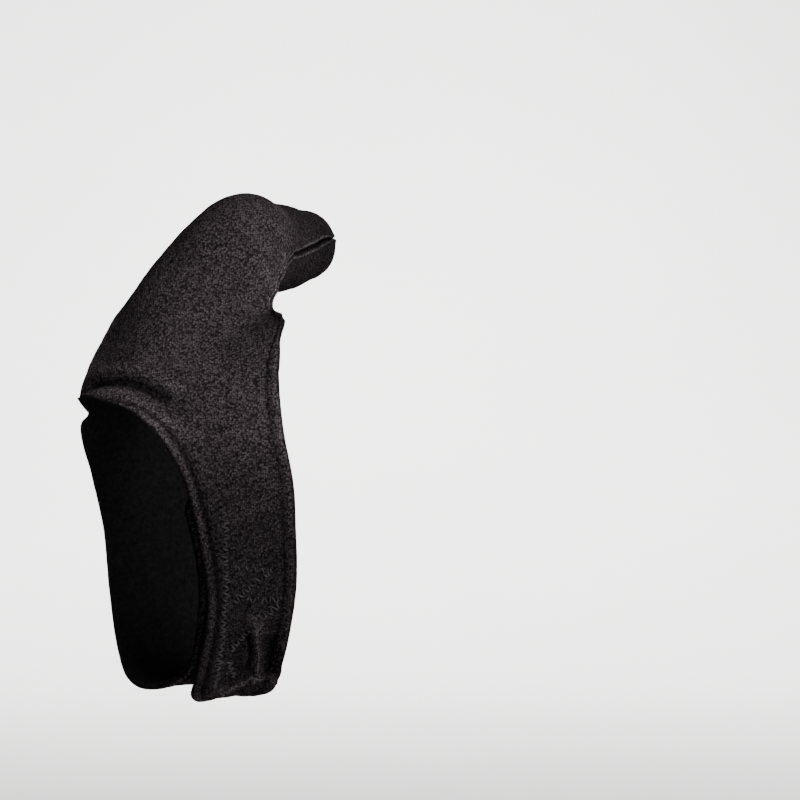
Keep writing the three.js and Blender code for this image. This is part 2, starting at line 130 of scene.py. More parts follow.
# Rows of the thumb stall from the tip to the web, shared by both panels. Shown and hidden are the
# places of the two seams, back and palm those of the crown between them, all counted in stations.
ThumbRow = namedtuple("ThumbRow", "shown shown_turn hidden hidden_turn back palm cap")
THUMB_ROWS = [
    ThumbRow(6.00, 43, 6.00, 223, 6.00, 6.00, 90),
    ThumbRow(5.86, 43, 5.86, 223, 6.00, 6.00, 45),
    ThumbRow(5.66, 42, 5.64, 223, 5.92, 5.90, 0),
    ThumbRow(5.38, 40, 5.36, 223, 5.50, 5.50, 0),
    ThumbRow(5.06, 36, 5.02, 223, 5.06, 5.10, 0),
    ThumbRow(4.60, 30, 4.45, 223, 4.50, 4.60, 0),
    ThumbRow(4.15, 24, 3.90, 224, 3.95, 4.10, 0),
    ThumbRow(3.75, 18, 3.46, 223, 3.45, 3.65, 0),
    ThumbRow(3.40, 14, 2.56, 219, 2.95, 3.20, 0),
    ThumbRow(3.10, 11, 2.25, 221, 2.45, 2.65, 0),
    ThumbRow(2.82, 10, 1.60, 221, 2.00, 2.05, 0),
    ThumbRow(2.66, 10, 0.80, 218, 1.60, 1.45, 0),
]
BACK_CROWN_TURN = 120
WEB_STATION = 2.56
WEB_TURN = 11
WRIST_CORNER = (0, -44)

# Rows round the hand. Finger is the finger-side edge as a share of the hand's length, width is a
# share of the band's, and the angles run from 0 on the thumb side through 90 on the back.
HandRow = namedtuple("HandRow", "finger finger_angle width wrist_angle stack peel", defaults=(0, 0))
STRAP_ROWS = [
    HandRow(0.93, -13, 2.12, -4),
    HandRow(0.97, 4, 1.98, 16),
    HandRow(0.95, 26, 1.63, 32),
    HandRow(0.95, 45, 1.35, 47, 0.1),
    HandRow(0.97, 62, 1.17, 61, 0.6),
    HandRow(1.01, 77, 1.11, 77, 1.0),
    HandRow(1.02, 92, 1.05, 92, 1.0),
    HandRow(1.02, 108, 1.00, 108, 1.0),
    HandRow(0.98, 125, 0.985, 125, 1.0),
    HandRow(0.92, 144, 0.97, 144, 1.0, 0.2),
    HandRow(0.89, 153, 0.95, 153, 1.0, 0.8),
    HandRow(0.83, 158, 0.80, 157, 1.0, 1.0),
]
PALM_ROWS = [
    HandRow(0.83, -25, 1.20, -52),
    HandRow(0.81, -50, 1.14, -72),
    HandRow(0.81, -80, 1.09, -95),
    HandRow(0.79, -110, 1.03, -120),
    HandRow(0.81, -140, 1.00, -145),
    HandRow(0.86, -165, 0.98, -172),
    HandRow(0.90, -188, 0.94, -190),
]
UNDERLAP_ROWS = [
    HandRow(0.93, -205, 1.36, -208),
    HandRow(0.95, -222, 1.13, -222),
    HandRow(0.95, -240, 1.00, -240),
    HandRow(0.96, -255, 0.98, -255),
    HandRow(0.95, -270, 1.01, -270),
    HandRow(0.93, -281, 1.04, -281),
    HandRow(0.92, -289, 1.05, -289),
]

# Folds and dents on the hand: three points of a line, each a share of the hand's length and an angle
# round it, and the width and height of the fold as shares of the cloth's wall
Fold = namedtuple("Fold", "line width height")
FOLDS = [
    Fold([(0.04, 6), (0.20, 20), (0.40, 45)], 2.2, 0.6),
    Fold([(0.07, -4), (0.25, 14), (0.46, 40)], 2.0, -0.7),
    Fold([(0.81, 117), (0.82, 127), (0.80, 139)], 1.8, 0.6),
    Fold([(0.90, 128), (0.90, 136), (0.89, 142)], 2.4, -0.4),
    Fold([(0.66, 149), (0.78, 142), (0.92, 146)], 1.8, 0.4),
]

# Finer folds of the same kind: the crease inside the wrist hem, and the puckers at the strap's end
FINE_FOLDS = [
    Fold([(0.07, -5), (0.24, 13), (0.40, 33)], 1.0, -0.8),
    Fold([(0.16, -12), (0.30, 10), (0.46, 32)], 1.6, 0.4),
    Fold([(0.775, 122), (0.785, 130), (0.765, 138)], 0.5, -1.1),
    Fold([(0.805, 120), (0.82, 129), (0.81, 138)], 0.5, 1.0),
    Fold([(0.72, 124), (0.72, 130), (0.71, 136)], 2.4, -0.55),
    Fold([(0.87, 127), (0.88, 134), (0.87, 141)], 2.3, -0.85),
    Fold([(0.63, 151), (0.71, 145.5), (0.79, 142)], 0.6, 1.0),
    Fold([(0.80, 142), (0.86, 143), (0.91, 145)], 0.6, 0.9),
    Fold([(0.64, 146), (0.72, 142), (0.80, 139)], 0.8, -0.8),
    Fold([(0.56, 118), (0.55, 132), (0.52, 148)], 1.0, -0.5),
    Fold([(0.62, 150), (0.58, 154), (0.53, 152)], 1.2, 0.6),
]

# Wrinkles across the bends of the thumb: station and turn of three points, and width and height
THUMB_WRINKLES = [
    Fold([(2.62, -4), (2.72, 24), (2.80, 58)], 1.3, 0.42),
    Fold([(2.90, -20), (2.98, 0), (3.02, 30)], 1.1, 0.35),
    Fold([(3.42, 262), (3.46, 300), (3.44, 335)], 1.0, 0.35),
    Fold([(3.62, 255), (3.66, 295), (3.62, 335)], 0.9, 0.25),
    Fold([(4.92, 270), (4.95, 300), (4.92, 335)], 0.9, 0.25),
    Fold([(0.75, 165), (1.00, 178), (1.30, 186)], 5.0, 0.8),
    Fold([(0.52, 150), (0.58, 175), (0.52, 200)], 2.6, -0.45),
    Fold([(0.18, 150), (0.26, 175), (0.18, 205)], 2.4, -2.0),
]

# Soft unevenness of the stretched cloth: the height and lengths of its waves, the way the first wave
# runs and leans, and how that way turns from one wave to the next
RIPPLE_HEIGHT = 0.16
RIPPLE_LENGTHS = (21, 13, 8.5)
RIPPLE_RUN, RIPPLE_RUN_TURN = np.array([1, 0.6, -0.7]), np.array([0, 0.3, 0.5])
RIPPLE_LEAN, RIPPLE_LEAN_TURN = np.array([-0.5, 0.4, 1]), np.array([0.4, 0, 0])
RIPPLE_LEAN_SHARE = 0.8


def radians(angle):
    return np.radians(np.asarray(angle, float))


def unit(vectors):
    return vectors / np.maximum(np.linalg.norm(vectors, axis=-1, keepdims=True), 1e-9)


def smooth_step(value, start, end):
    share = np.clip((value - start) / (end - start), 0, 1)
    return share * share * (3 - 2 * share)


RADIAL = np.array([0, -math.sin(math.radians(HAND_ROLL)), math.cos(math.radians(HAND_ROLL))])
DORSAL = np.array([0, -math.cos(math.radians(HAND_ROLL)), -math.sin(math.radians(HAND_ROLL))])
THUMBWARD = np.array([math.cos(math.radians(METACARPAL.rise)), 0, math.sin(math.radians(METACARPAL.rise))])


def spline_spot(count, shares):
    """The stretch between two of count marks that each share falls in, and the place along it."""
    spot = np.clip(np.atleast_1d(shares), 0, 1) * (count - 1)
    index = np.minimum(spot.astype(int), count - 2)
    return index, spot - index


def cubic(start, end, leave, reach, share):
    """A curve from start to end that leaves and reaches them with the given slopes."""
    bend = -3 * start + 3 * end - 2 * leave - reach
    return start + leave * share + bend * share**2 + (2 * start - 2 * end + leave + reach) * share**3


def smooth_line(points, shares):
    """Places on a centripetal spline through points, at shares of it from 0 to 1."""
    points = np.asarray(points, float)
    ends = np.concatenate([[2 * points[0] - points[1]], points, [2 * points[-1] - points[-2]]])
    index, share = spline_spot(len(points), shares)
    before, start, end, after = (ends[index + step] for step in range(4))

    def stretch(first, second):
        return np.maximum(np.linalg.norm(second - first, axis=1), 1e-4)[:, None] ** 0.5

    lead, own, trail = stretch(before, start), stretch(start, end), stretch(end, after)
    leave = (start - before) / lead - (end - before) / (lead + own) + (end - start) / own
    reach = (end - start) / own - (after - start) / (own + trail) + (after - end) / trail
    return cubic(start, end, leave * own, reach * own, share[:, None])


def smooth_value(values, shares):
    """A smooth value through evenly spaced values, at shares from 0 to 1."""
    values = np.asarray(values, float)
    ends = np.concatenate([values[:1], values, values[-1:]])
    index, share = spline_spot(len(values), shares)
    before, start, end, after = (ends[index + step] for step in range(4))
    return cubic(start, end, (end - before) / 2, (after - start) / 2, share)


def bone_end(start, bone):
    rise, turn = math.radians(bone.rise), math.radians(bone.turn)
    along = (math.cos(rise) * math.cos(turn), math.cos(rise) * math.sin(turn), math.sin(rise))
    return start + np.array(along) * bone.length


def thumb_spine():
    ends = [THUMB_BASE]
    for bone in (METACARPAL, PROXIMAL, DISTAL):
        ends.append(bone_end(ends[-1], bone))
    side = unit(THUMB_SIDE)
    return np.array([
        ends[s.bone] + (ends[s.bone + 1] - ends[s.bone]) * s.share - side * s.bow * METACARPAL_BOW
        for s in THUMB_STATIONS
    ])


SPINE = thumb_spine()
GIRTH = [station.radius * THUMB_RADIUS for station in THUMB_STATIONS]
SLICES = np.linspace(0, 1, THUMB_SLICES + 1)
BALL_CENTRES = smooth_line(SPINE, SLICES)
BALL_RADII = smooth_value(GIRTH, SLICES)


def hand_section(x):
    share = np.clip((x - WRIST_X) / HAND_LENGTH, -0.5, 1.5)
    half_breadth = (WRIST_BREADTH + (PALM_BREADTH - WRIST_BREADTH) * share) / 2
    half_depth = (WRIST_DEPTH + (PALM_DEPTH - WRIST_DEPTH) * share) / 2
    return half_breadth, half_depth, WRIST_MIDDLE + (PALM_MIDDLE - WRIST_MIDDLE) * share


def hand_distance(p):
    half_breadth, half_depth, middle = hand_section(p[:, 0])
    height = p[:, 2] - middle
    across = np.abs(RADIAL[1] * p[:, 1] + RADIAL[2] * height) / half_breadth
    through = np.abs(DORSAL[1] * p[:, 1] + DORSAL[2] * height) / half_depth
    power = HAND_SQUARENESS
    size = np.maximum((across**power + through**power) ** (1 / power), 0.01)
    slope_across = (across / size) ** (power - 1) / half_breadth
    slope_through = (through / size) ** (power - 1) / half_depth
    return (size - 1) / np.hypot(slope_across, slope_through)


def cone_distance(p, start, start_radius, end, end_radius):
    way = np.asarray(end, float) - start
    offset = p - start
    share = np.clip(offset @ way / (way @ way), 0, 1)
    away = np.linalg.norm(offset - share[:, None] * way, axis=1)
    return away - start_radius - share * (end_radius - start_radius)


def chain_distance(p, line, radii):
    """Distance of points from a chain of cones along a line."""
    nearest = np.full(len(p), np.inf)
    for start, end, start_radius, end_radius in zip(line[:-1], line[1:], radii[:-1], radii[1:]):
        nearest = np.minimum(nearest, cone_distance(p, start, start_radius, end, end_radius))
    return nearest


def blend(first, second, reach):
    overlap = np.maximum(reach - np.abs(first - second), 0) / reach
    return np.minimum(first, second) - overlap * overlap * reach / 4


def form_distance(p):
    """Distance of points from the whole hand and thumb that fill the glove."""
    muscle = cone_distance(p, THENAR_FROM, THENAR_RADIUS, THENAR_TO, THENAR_RADIUS)
    palm = blend(hand_distance(p), muscle, THENAR_BLEND)
    return blend(palm, chain_distance(p, BALL_CENTRES, BALL_RADII), WEB_BLEND)


PROBE = 0.05
LEAST_SLOPE = 0.25


def form_slope(p):
    slope = np.empty_like(p)
    for axis in range(3):
        step = np.zeros(3)
        step[axis] = PROBE
        slope[:, axis] = (form_distance(p + step) - form_distance(p - step)) / (2 * PROBE)
    return slope


def settle(places, steps=5):
    """Moves places to the nearest points on the skin."""
    places = np.asarray(places, float)
    settled = places.reshape(-1, 3).copy()
    for _ in range(steps):
        slope = form_slope(settled)
        reach = form_distance(settled) / np.maximum((slope**2).sum(axis=1), LEAST_SLOPE)
        settled -= slope * reach[:, None]
    return settled.reshape(places.shape)


def skin_normals(places):
    return unit(form_slope(places.reshape(-1, 3))).reshape(places.shape)


def on_hand(share, angle):
    share, angle = np.atleast_1d(share).astype(float), radians(np.atleast_1d(angle))
    x = WRIST_X + share * HAND_LENGTH
    half_breadth, half_depth, middle = hand_section(x)
    across, through = np.cos(angle), np.sin(angle)
    power = HAND_SQUARENESS
    size = (np.abs(across) ** power + np.abs(through) ** power) ** (1 / power)
    skin = np.stack([x, np.zeros_like(x), middle], axis=1)
    skin += RADIAL * (across / size * half_breadth)[:, None]
    skin += DORSAL * (through / size * half_depth)[:, None]
    return settle(skin)


def on_thumb(station, turn, cap=0):
    share = np.atleast_1d(station) / TIP
    turn, cap = radians(np.broadcast_to(turn, share.shape)), radians(np.broadcast_to(cap, share.shape))
    along = unit(smooth_line(SPINE, share + 1e-4) - smooth_line(SPINE, share - 1e-4))
    side = unit(THUMB_SIDE)
    side = unit(side - along * (along @ side)[:, None])
    front = np.cross(side, along)
    out = side * np.cos(turn)[:, None] + front * np.sin(turn)[:, None]
    out = out * np.cos(cap)[:, None] + along * np.sin(cap)[:, None]
    return settle(smooth_line(SPINE, share) + out * smooth_value(GIRTH, share)[:, None])


FOLD_SAMPLES = 17


def fold_lines(folds, place_on_skin):
    lines = []
    for fold in folds:
        shares, angles = zip(*fold.line)
        marks = place_on_skin(np.array(shares), np.array(angles))
        line = smooth_line(marks, np.linspace(0, 1, FOLD_SAMPLES))
        lines.append((line, fold.width * CLOTH_WALL, fold.height * CLOTH_WALL))
    return lines


FOLD_LINES = fold_lines(FOLDS + FINE_FOLDS, on_hand) + fold_lines(THUMB_WRINKLES, on_thumb)


def line_distance(p, line):
    return chain_distance(p, line, np.zeros(len(line)))


def hump(distance, place, spread):
    """A round hump of height 1 over a place, which fades with the distance from it."""
    return np.exp(-(((distance - place) / spread) ** 2))


def fold_lift(places):
    """How far the folds lift the cloth off the skin, less than zero in their valleys."""
    p = places.reshape(-1, 3)
    lift = np.zeros(len(p))
    for line, width, height in FOLD_LINES:
        lift += height * hump(line_distance(p, line), 0, width)
    return lift.reshape(places.shape[:-1])


def ripple_lift(places):
    """Soft unevenness of the stretched cloth."""
    p = places.reshape(-1, 3)
    lift = np.zeros(len(p))
    for index, length in enumerate(RIPPLE_LENGTHS):
        wave = 2 * math.pi / length
        run = p @ (RIPPLE_RUN + RIPPLE_RUN_TURN * index) * wave
        lean = p @ (RIPPLE_LEAN + RIPPLE_LEAN_TURN * index) * wave * RIPPLE_LEAN_SHARE
        lift += RIPPLE_HEIGHT / (index + 1) * np.sin(run + index) * np.cos(lean)
    return lift.reshape(places.shape[:-1])


# The rows of a panel from the tip down: its two edges, the crown between them, and what they carry
Rows = namedtuple("Rows", "left crown right stack peel seam")


def broad_crown(left, right, reach):
    crown = (left + right) / 2 + DORSAL * reach[:, None]
    return settle(crown + THUMBWARD * (np.maximum(reach, 0) * CROWN_BOW)[:, None])


def hand_rows(rows, band_width, side):
    finger, finger_angle, width, wrist_angle = np.array(rows, float).T[:4]
    wrist = finger - width * band_width / HAND_LENGTH
    left, right = on_hand(wrist, wrist_angle), on_hand(finger, finger_angle)
    angle = (finger_angle + wrist_angle) / 2
    reach = np.maximum(0, np.cos(radians(angle))) * side * WRIST_DEPTH / 2
    round_hand = on_hand((wrist + finger) / 2, angle)
    crown = np.where((reach != 0)[:, None], broad_crown(left, right, reach), round_hand)
    return left, crown, right


def panel_rows(side, bands):
    """All rows of one panel: side is 1 for the back and -1 for the palm, bands its rows and widths."""
    shown, shown_turn, hidden, hidden_turn, back, palm, cap = np.array(THUMB_ROWS, float).T
    left, right = [on_thumb(hidden, hidden_turn)], [on_thumb(shown, shown_turn)]
    if side > 0:
        crown = [on_thumb(back, BACK_CROWN_TURN, cap)]
    else:
        crown = [on_thumb(palm, BACK_CROWN_TURN + 180, cap)]
    corner, web = on_hand(*WRIST_CORNER), on_thumb(WEB_STATION, WEB_TURN)
    left.append(corner)
    crown.append(broad_crown(corner, web, np.array([side * WRIST_DEPTH / 2])))
    right.append(web)
    for rows, width, band_side in bands:
        for lines, line in zip((left, crown, right), hand_rows(rows, width, band_side)):
            lines.append(line)
    bare = [0] * (len(THUMB_ROWS) + 1)
    hands = [row for rows, _, _ in bands for row in rows]
    return Rows(
        np.concatenate(left),
        np.concatenate(crown),
        np.concatenate(right),
        np.array(bare + [row.stack for row in hands], float),
        np.array(bare + [row.peel for row in hands], float),
        np.array([1] * len(bare) + [0] * len(hands), float),
    )


def track(rows, places):
    """The rows of a panel at any places between them, counted in rows."""
    last = len(rows.crown) - 1
    web = len(THUMB_ROWS)

    def edge(points):
        seam = smooth_line(points[: web + 1], places / web)
        hem = smooth_line(points[web:], (places - web) / (last - web))
        return np.where((places < web)[:, None], seam, hem)

    def mix(values):
        return np.interp(places, np.arange(last + 1), values)

    return Rows(
        edge(rows.left),
        smooth_line(rows.crown, places / last),
        edge(rows.right),
        *(mix(values) for values in rows[3:]),
    )


# Places of the fine rows next to the tip, counted in rows, with a margin that stays free after them, and
# of those next to the free end, as shares of the last step
TIP_PLACES = (0.008, 0.02, 0.04, 0.065, 0.1, 0.14)
TIP_MARGIN = 0.03
END_SHARES = (0.02, 0.06, 0.14, 0.28)


def track_places(rows):
    """Places along a panel, close together at the tip and at the free end."""
    last = len(rows.crown) - 1
    marks = track(rows, np.arange(last + 1.0))
    places = list(TIP_PLACES)
    for row in range(last):
        reach = max(np.linalg.norm(line[row + 1] - line[row]) for line in marks[:3])
        steps = max(1, round(reach / FACET_LENGTH))
        places += [row + step / steps for step in range(1, steps + 1)]
    fine_end = TIP_PLACES[-1]
    places = sorted(place for place in places if place <= fine_end or place > fine_end + TIP_MARGIN)
    step = last - places[-2]
    return np.array(places[:-1] + [last - step * share for share in reversed(END_SHARES)] + [last])


CROSS_SAMPLES = 48

# Distances of the fine columns from an edge
EDGE_COLUMNS = (0, 0.04, 0.13, 0.28, 0.5, 0.8, 1.15, 1.5, 1.85, 2.15, 2.4, 2.65, 2.9, 3.15, 3.4, 3.7, 4.2)


def cross_lines(rows):
    """The skin lines across a panel and the length along each."""
    angle = np.linspace(0, math.pi, CROSS_SAMPLES + 1)[None, :, None]
    middle = (rows.left + rows.right)[:, None] / 2
    guess = middle - (rows.right - rows.left)[:, None] * np.cos(angle) / 2
    guess = guess + (rows.crown[:, None] - middle) * np.sin(angle)
    line = settle(guess)
    steps = np.linalg.norm(np.diff(line, axis=1), axis=2)
    return line, np.concatenate([np.zeros((len(line), 1)), np.cumsum(steps, axis=1)], axis=1)


def places_across(line, length, distances):
    """Skin places at distances along the lines across a panel."""
    places = np.empty(distances.shape + (3,))
    for row, wanted in enumerate(distances):
        for axis in range(3):
            places[row, :, axis] = np.interp(wanted, length[row], line[row, :, axis])
    return settle(places, 3)


def run_length(grid):
    """Distance down each column of a grid of places from its first row."""
    steps = np.linalg.norm(np.diff(grid, axis=0), axis=2)
    return np.concatenate([np.zeros((1, grid.shape[1])), np.cumsum(steps, axis=0)])


# A finished panel as grids: its two faces, its normals, the distances across it and from its free end,
# from a free edge and from a seam, the painted shadow along its stitch lines, the lift of its folds, and
# its painted light and shade, with the knit's stretch, that darkens the strap's end and the thumb's tip
Panel = namedtuple("Panel", "outer inner normals across width from_end edge seam groove fold stretch")

# Painted light and shade, with the knit's lighter look where it is stretched over the hand: a factor on the
# cloth's colour by the distance from the strap's end and from the tip, darkest at the strap's end and the
# thumb's tip
SHADE_AND_STRETCH_FROM_END = ((0, 50, 66, 84, 105, 125), (0.42, 0.43, 0.60, 1.12, 1.22, 1.05))
SHADE_AND_STRETCH_FROM_TIP = ((0, 38, 60), (0.42, 0.54, 1))


def corner_inset(to_end, radius):
    """How far a rounded corner stands in from the straight edge, by the distance to the free end."""
    rest = np.clip(radius - to_end, 0, radius)
    return radius - np.sqrt(radius**2 - rest**2)


# Stands for a distance from an edge that a place has nothing to do with
FAR = 99


def make_panel(rows, lip):
    """A panel along its rows, with thicker hems, stitch lines, folds, and seam lips as a share of theirs."""
    places = track_places(rows)
    mid = track(rows, places)
    line, length = cross_lines(mid)
    total = length[:, -1:]
    trim = SEAM_SLIT / 2 * mid.seam[:, None]
    to_end = np.linalg.norm(mid.crown - mid.crown[-1], axis=1, keepdims=True)
    start = trim + corner_inset(to_end, END_ROUND_WRIST)
    end = total - trim - corner_inset(to_end, END_ROUND_FINGER)
    near = np.array(EDGE_COLUMNS)[None]
    shares = np.linspace(0, 1, INNER_COLUMNS + 2)[None, 1:-1]
    left_part, right_part = start + near, end - near[:, ::-1]
    inner_part = left_part[:, -1:] + (right_part[:, :1] - left_part[:, -1:]) * shares
    distances = np.concatenate([left_part, inner_part, right_part], axis=1)
    skin = places_across(line, length, distances)
    normals = skin_normals(skin)
    from_tip = run_length(skin)
    from_end = run_length(skin[::-1])[::-1]
    from_edge = np.stack([distances - start, end - distances, from_tip, from_end])
    ones = np.ones_like(from_tip)
    side_seam = mid.seam[:, None] * ones
    seam = np.stack([side_seam, side_seam, ones, 0 * ones])

    free, depth = 1 - seam, np.array(GROOVE_SHARES)[:, None, None]
    hem = (free * (1 - smooth_step(from_edge, HEM_WIDTH, HEM_WIDTH + HEM_SLOPE))).max(axis=0)
    swell = (free * np.maximum(1 - (2 * from_edge / HEM_WIDTH - 1) ** 2, 0)).max(axis=0)
    groove = (depth * free * hump(from_edge, STITCH_INSET, GROOVE_SPREAD)).max(axis=0)
    shadow = (depth * free * hump(from_edge, SHADOW_INSET, SHADOW_SPREAD)).max(axis=0)
    welt = (seam * hump(from_edge, SEAM_ROUND, LIP_SPREAD)).max(axis=0)
    wall = CLOTH_WALL + (HEM_WALL - CLOTH_WALL) * hem + HEM_SWELL * swell
    wall += lip * SEAM_LIP * welt - STITCH_GROOVE * groove

    nearest = from_edge.argmin(axis=0)[None]
    edge_distance = np.take_along_axis(from_edge, nearest, axis=0)[0]
    edge_seam = np.take_along_axis(seam, nearest, axis=0)[0]
    bend = HEM_WALL / 2 + (SEAM_ROUND - HEM_WALL / 2) * edge_seam
    rounding = np.sqrt(1 - (1 - np.clip(edge_distance / bend, 0, 1)) ** 2)
    pinch = wall / 2 * (1 - edge_seam)

    peel = np.maximum(0, 1 - 2 * distances / total) ** 2 * mid.peel[:, None] * PEEL_HEIGHT
    fold = fold_lift(skin)
    lift = mid.stack[:, None] * STACK_HEIGHT + peel + fold + ripple_lift(skin)
    outer = skin + normals * (lift + pinch + (wall - pinch) * rounding)[..., None]
    inner = skin + normals * (lift + pinch * (1 - rounding))[..., None]
    free_edge = np.where(seam < 0.5, from_edge, FAR).min(axis=0)
    seam_edge = np.where(seam < 0.5, FAR, from_edge).min(axis=0)
    # Painted light and shade with the knit's stretch, darkest at the strap's end and the thumb's tip
    stretch = np.minimum(np.interp(from_end, *SHADE_AND_STRETCH_FROM_END), np.interp(from_tip, *SHADE_AND_STRETCH_FROM_TIP))
    faces, runs = (outer, inner, normals), (distances - start, end - start, from_end)
    return Panel(*faces, *runs, free_edge, seam_edge, shadow, fold, stretch)


PRESS_WIDTH = 1.2
PRESS_DEPTH = 0.16
PRESS_FADE = (0.3, 1.2)


def press(panel, line):
    """The panel with its outer face pressed in along a line, as by a row of stitches."""
    flat = panel.outer.reshape(-1, 3)
    dent = PRESS_DEPTH * hump(line_distance(flat, line), 0, PRESS_WIDTH).reshape(panel.edge.shape)
    dent = dent * smooth_step(panel.edge, *PRESS_FADE)
    return panel._replace(outer=panel.outer - panel.normals * dent[..., None])


def add_object(name, data):
    thing = bpy.data.objects.new(name, data)
    bpy.context.collection.objects.link(thing)
    return thing


def face_turn(points, faces):
    corners = points[faces[:, :3]]
    return np.einsum("ij,ij->i", corners[:, 0], np.cross(corners[:, 1], corners[:, 2])).sum()


def sheet_mesh(name, outer, inner, values):
    """A closed sheet of two faces that share their edge, with values kept on its points."""
    row_count, column_count = outer.shape[:2]
    index = np.arange(row_count * column_count).reshape(row_count, column_count)
    inside = np.zeros((row_count, column_count), bool)
    inside[1:-1, 1:-1] = True
    back = index.copy()
    back[inside] = row_count * column_count + np.arange(inside.sum())
    points = np.concatenate([outer.reshape(-1, 3), inner[inside]])

    def quads(grid):
        corners = (grid[:-1, :-1], grid[:-1, 1:], grid[1:, 1:], grid[1:, :-1])
        return np.stack([corner.ravel() for corner in corners], axis=1)

    faces = np.concatenate([quads(index), quads(back)[:, ::-1]])
    if face_turn(points, faces) < 0:
        faces = faces[:, ::-1]
    mesh = bpy.data.meshes.new(name)
    mesh.from_pydata((points * MM).tolist(), [], faces.tolist())
    for value_name, grid in {**values, "inside": np.zeros(outer.shape[:2])}.items():
        back_values = grid[inside] + (value_name == "inside")
        kept = np.concatenate([grid.ravel(), back_values])
        layer = mesh.attributes.new(value_name, "FLOAT", "POINT")
        layer.data.foreach_set("value", kept.astype(np.float32))
    mesh.shade_smooth()
    mesh.validate()
    return add_object(name, mesh)


# The values that the cloth's shader reads, and the largest that is kept of any
SHADER_VALUES = ("edge", "seam", "groove", "fold", "stretch")
LARGEST_VALUE = 20


def panel_piece(name, panel):
    values = {key: np.minimum(getattr(panel, key), LARGEST_VALUE) for key in SHADER_VALUES}
    return sheet_mesh(name, panel.outer, panel.inner, values)


# Lines on a panel's outer face, for stitching
Line = namedtuple("Line", "points up side")


def line_on(panel, marks):
    """A line through marks, each the distance from the panel's end and from its wrist-side edge."""
    from_end, across = np.array(marks, float).T
    row_count, column_count = panel.edge.shape
    along = panel.from_end[:, column_count // 2]
    row = np.interp(from_end, along[::-1], np.arange(row_count)[::-1])
    low = np.minimum(row.astype(int), row_count - 2)
    share = (row - low)[:, None]

    def on_row(index):
        spots = [np.interp(spot, panel.across[i], np.arange(column_count)) for i, spot in zip(index, across)]
        left = np.minimum(np.array(spots).astype(int), column_count - 2)
        part = (np.array(spots) - left)[:, None]
        faces = (panel.outer, panel.normals)
        return [grid[index, left] * (1 - part) + grid[index, left + 1] * part for grid in faces]

    (points, ups), (next_points, next_ups) = on_row(low), on_row(low + 1)
    points = points + (next_points - points) * share
    ups = unit(ups + (next_ups - ups) * share)
    return Line(points, ups, unit(np.cross(np.gradient(points, axis=0), ups)))


def edge_line(panel, from_right, inset, first, last):
    """A line at an inset from one edge, over the rows at distances first to last from the end."""
    along = panel.from_end[:, panel.from_end.shape[1] // 2]
    chosen = np.flatnonzero((along >= first) & (along <= last))
    wanted = panel.width[chosen, 0] - inset if from_right else np.full(len(chosen), float(inset))
    return line_on(panel, list(zip(along[chosen], wanted)))


def even_line(line, step):
    """The same line with points at even distances, close to step apart."""
    length = np.concatenate([[0], np.cumsum(np.linalg.norm(np.diff(line.points, axis=0), axis=1))])
    spots = np.linspace(0, length[-1], max(2, round(length[-1] / step) + 1))

    def spread(vectors):
        return np.stack([np.interp(spots, length, vectors[:, axis]) for axis in range(3)], axis=1)

    return Line(spread(line.points), unit(spread(line.up)), unit(spread(line.side)))


def line_object(name, lines):
    """A mesh of bare edges along lines, with the cloth's up and side directions on its points."""
    points = np.concatenate([line.points for line in lines])
    edges, first = [], 0
    for line in lines:
        edges += [(first + index, first + index + 1) for index in range(len(line.points) - 1)]
        first += len(line.points)
    mesh = bpy.data.meshes.new(name)
    mesh.from_pydata((points * MM).tolist(), edges, [])
    for value_name in ("up", "side"):
        vectors = np.concatenate([getattr(line, value_name) for line in lines])
        layer = mesh.attributes.new(value_name, "FLOAT_VECTOR", "POINT")
        layer.data.foreach_set("vector", vectors.astype(np.float32).ravel())
    return add_object(name, mesh)


def plain(value):
    """A value as its socket takes it: a colour gets its alpha."""
    return (*value, 1) if isinstance(value, tuple) else value


def add_node(tree, kind, inputs=(), **settings):
    """A node with its settings and its inputs, each a socket to link or a plain value."""
    node = tree.nodes.new(kind)
    for name, value in settings.items():
        setattr(node, name, value)
    for name, value in dict(inputs).items():
        if isinstance(value, bpy.types.NodeSocket):
            tree.links.new(value, node.inputs[name])
        else:
            node.inputs[name].default_value = plain(value)
    return node


def node_output(tree, kind, inputs=(), **settings):
    return add_node(tree, kind, inputs, **settings).outputs[0]


def new_tree(name, kind, inputs, outputs):
    """A node tree and its input sockets, each of them named and given by its value or its kind."""
    tree = bpy.data.node_groups.new(name, kind)
    for way, sockets in (("INPUT", inputs), ("OUTPUT", outputs)):
        for socket_name, value in sockets.items():
            kind_name = {str: value, tuple: "Color"}.get(type(value), "Float")
            socket = tree.interface.new_socket(socket_name, in_out=way, socket_type="NodeSocket" + kind_name)
            if not isinstance(value, str):
                socket.default_value = plain(value)
    return tree, tree.nodes.new("NodeGroupInput").outputs


def geometry_tree(name, sizes):
    inputs = {"Geometry": "Geometry", **sizes, "Material": "Material"}
    return new_tree(name, "GeometryNodeTree", inputs, {"Geometry": "Geometry"})


def end_tree(tree, given, geometry):
    """Ends a tree in Realize Instances, smooth shading and Set Material."""
    solid = node_output(tree, "GeometryNodeRealizeInstances", {"Geometry": geometry})
    smooth = node_output(tree, "GeometryNodeSetShadeSmooth", {"Geometry": solid})
    finish = {"Geometry": smooth, "Material": given["Material"]}
    painted = node_output(tree, "GeometryNodeSetMaterial", finish)
    add_node(tree, "NodeGroupOutput", {"Geometry": painted})
    return tree


def stored_vector(tree, name):
    kind = "GeometryNodeInputNamedAttribute"
    return add_node(tree, kind, {"Name": name}, data_type="FLOAT_VECTOR").outputs["Attribute"]


def math_node(tree, operation, *values):
    return node_output(tree, "ShaderNodeMath", enumerate(values), operation=operation)


def scaled(tree, vector, factor):
    return node_output(tree, "ShaderNodeVectorMath", {0: vector, "Scale": factor}, operation="SCALE")


def even_curve(tree, lines, step):
    """The bare lines as curves with points at even steps."""
    curve = node_output(tree, "GeometryNodeMeshToCurve", {"Mesh": lines})
    return node_output(tree, "GeometryNodeResampleCurve", {"Curve": curve, "Length": step}, mode="LENGTH")


